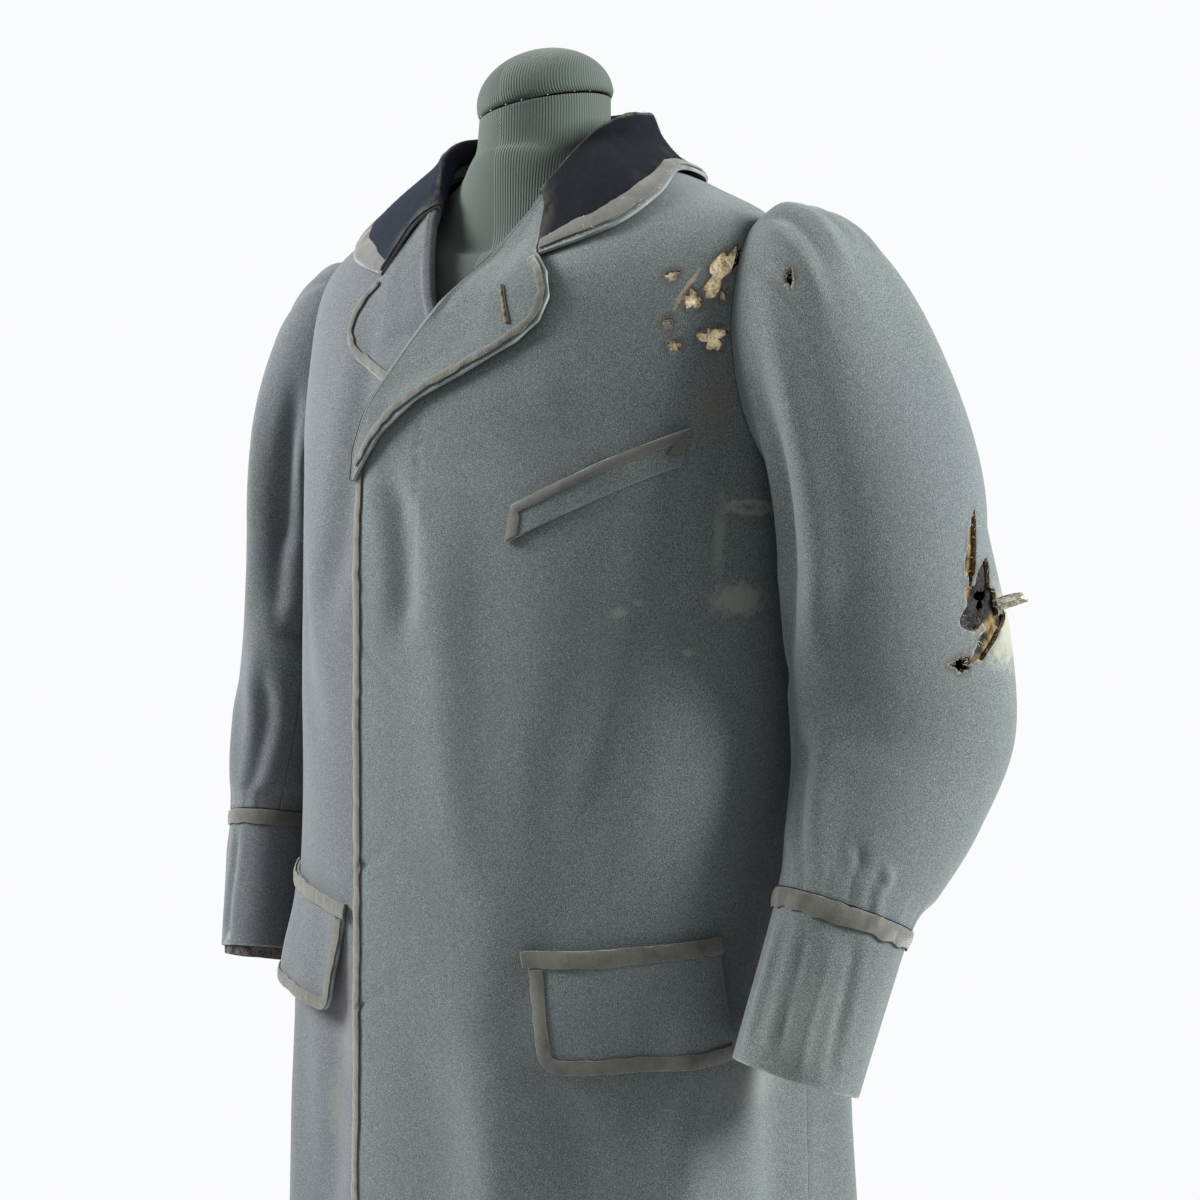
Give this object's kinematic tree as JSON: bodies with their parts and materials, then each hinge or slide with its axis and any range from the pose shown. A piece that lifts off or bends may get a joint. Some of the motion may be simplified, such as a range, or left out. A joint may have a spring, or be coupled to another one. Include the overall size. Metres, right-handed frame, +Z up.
{
  "type": "overcoat on a dress form",
  "caption": "Thick grey wool overcoat, flat braid edges, dark velvet collar, concealed fly, moth holes and a torn left elbow, worn by a limbless dress form on a pole and round base.",
  "frame": {"origin": "on the floor, at the middle of the stand's round base", "axes": "+Z up, -Y the coat's front, +X the wearer's left"},
  "size_m": [0.7483, 0.4191, 1.5622],
  "materials": {
    "coat_cloth": "thick wool with a soft worn nap",
    "braid": "flat woven braid, worn and frayed",
    "velvet": "cut velvet, worn at the fold",
    "wadding": "matted fibre",
    "lining": "thin woven lining, frayed",
    "form_jersey": "ribbed jersey",
    "stand_metal": "satin"
  },
  "bodies": {
    "root": {"left_front": "coat_cloth", "right_front": "coat_cloth", "back": "coat_cloth", "left_top_sleeve": "coat_cloth", "left_under_sleeve": "coat_cloth", "left_cuff": "coat_cloth", "right_top_sleeve": "coat_cloth", "right_under_sleeve": "coat_cloth", "right_cuff": "coat_cloth", "left_lapel": "coat_cloth", "right_lapel": "coat_cloth", "left_lapel_braid": "braid", "right_lapel_braid": "braid", "left_front_braid": "braid", "collar": "coat_cloth", "velvet_collar": "velvet", "collar_braid": "braid", "left_flap": "coat_cloth", "left_flap_braid": "braid", "right_flap": "coat_cloth", "right_flap_braid": "braid", "breast_welt": "coat_cloth", "breast_welt_braid": "braid", "shoulder_wadding": "wadding", "left_elbow_lining": "lining", "right_cuff_lining": "lining", "dress_form": "form_jersey", "neck_cap": "form_jersey", "stand_pole": "stand_metal", "stand_base": "stand_metal"}
  },
  "joints": []
}
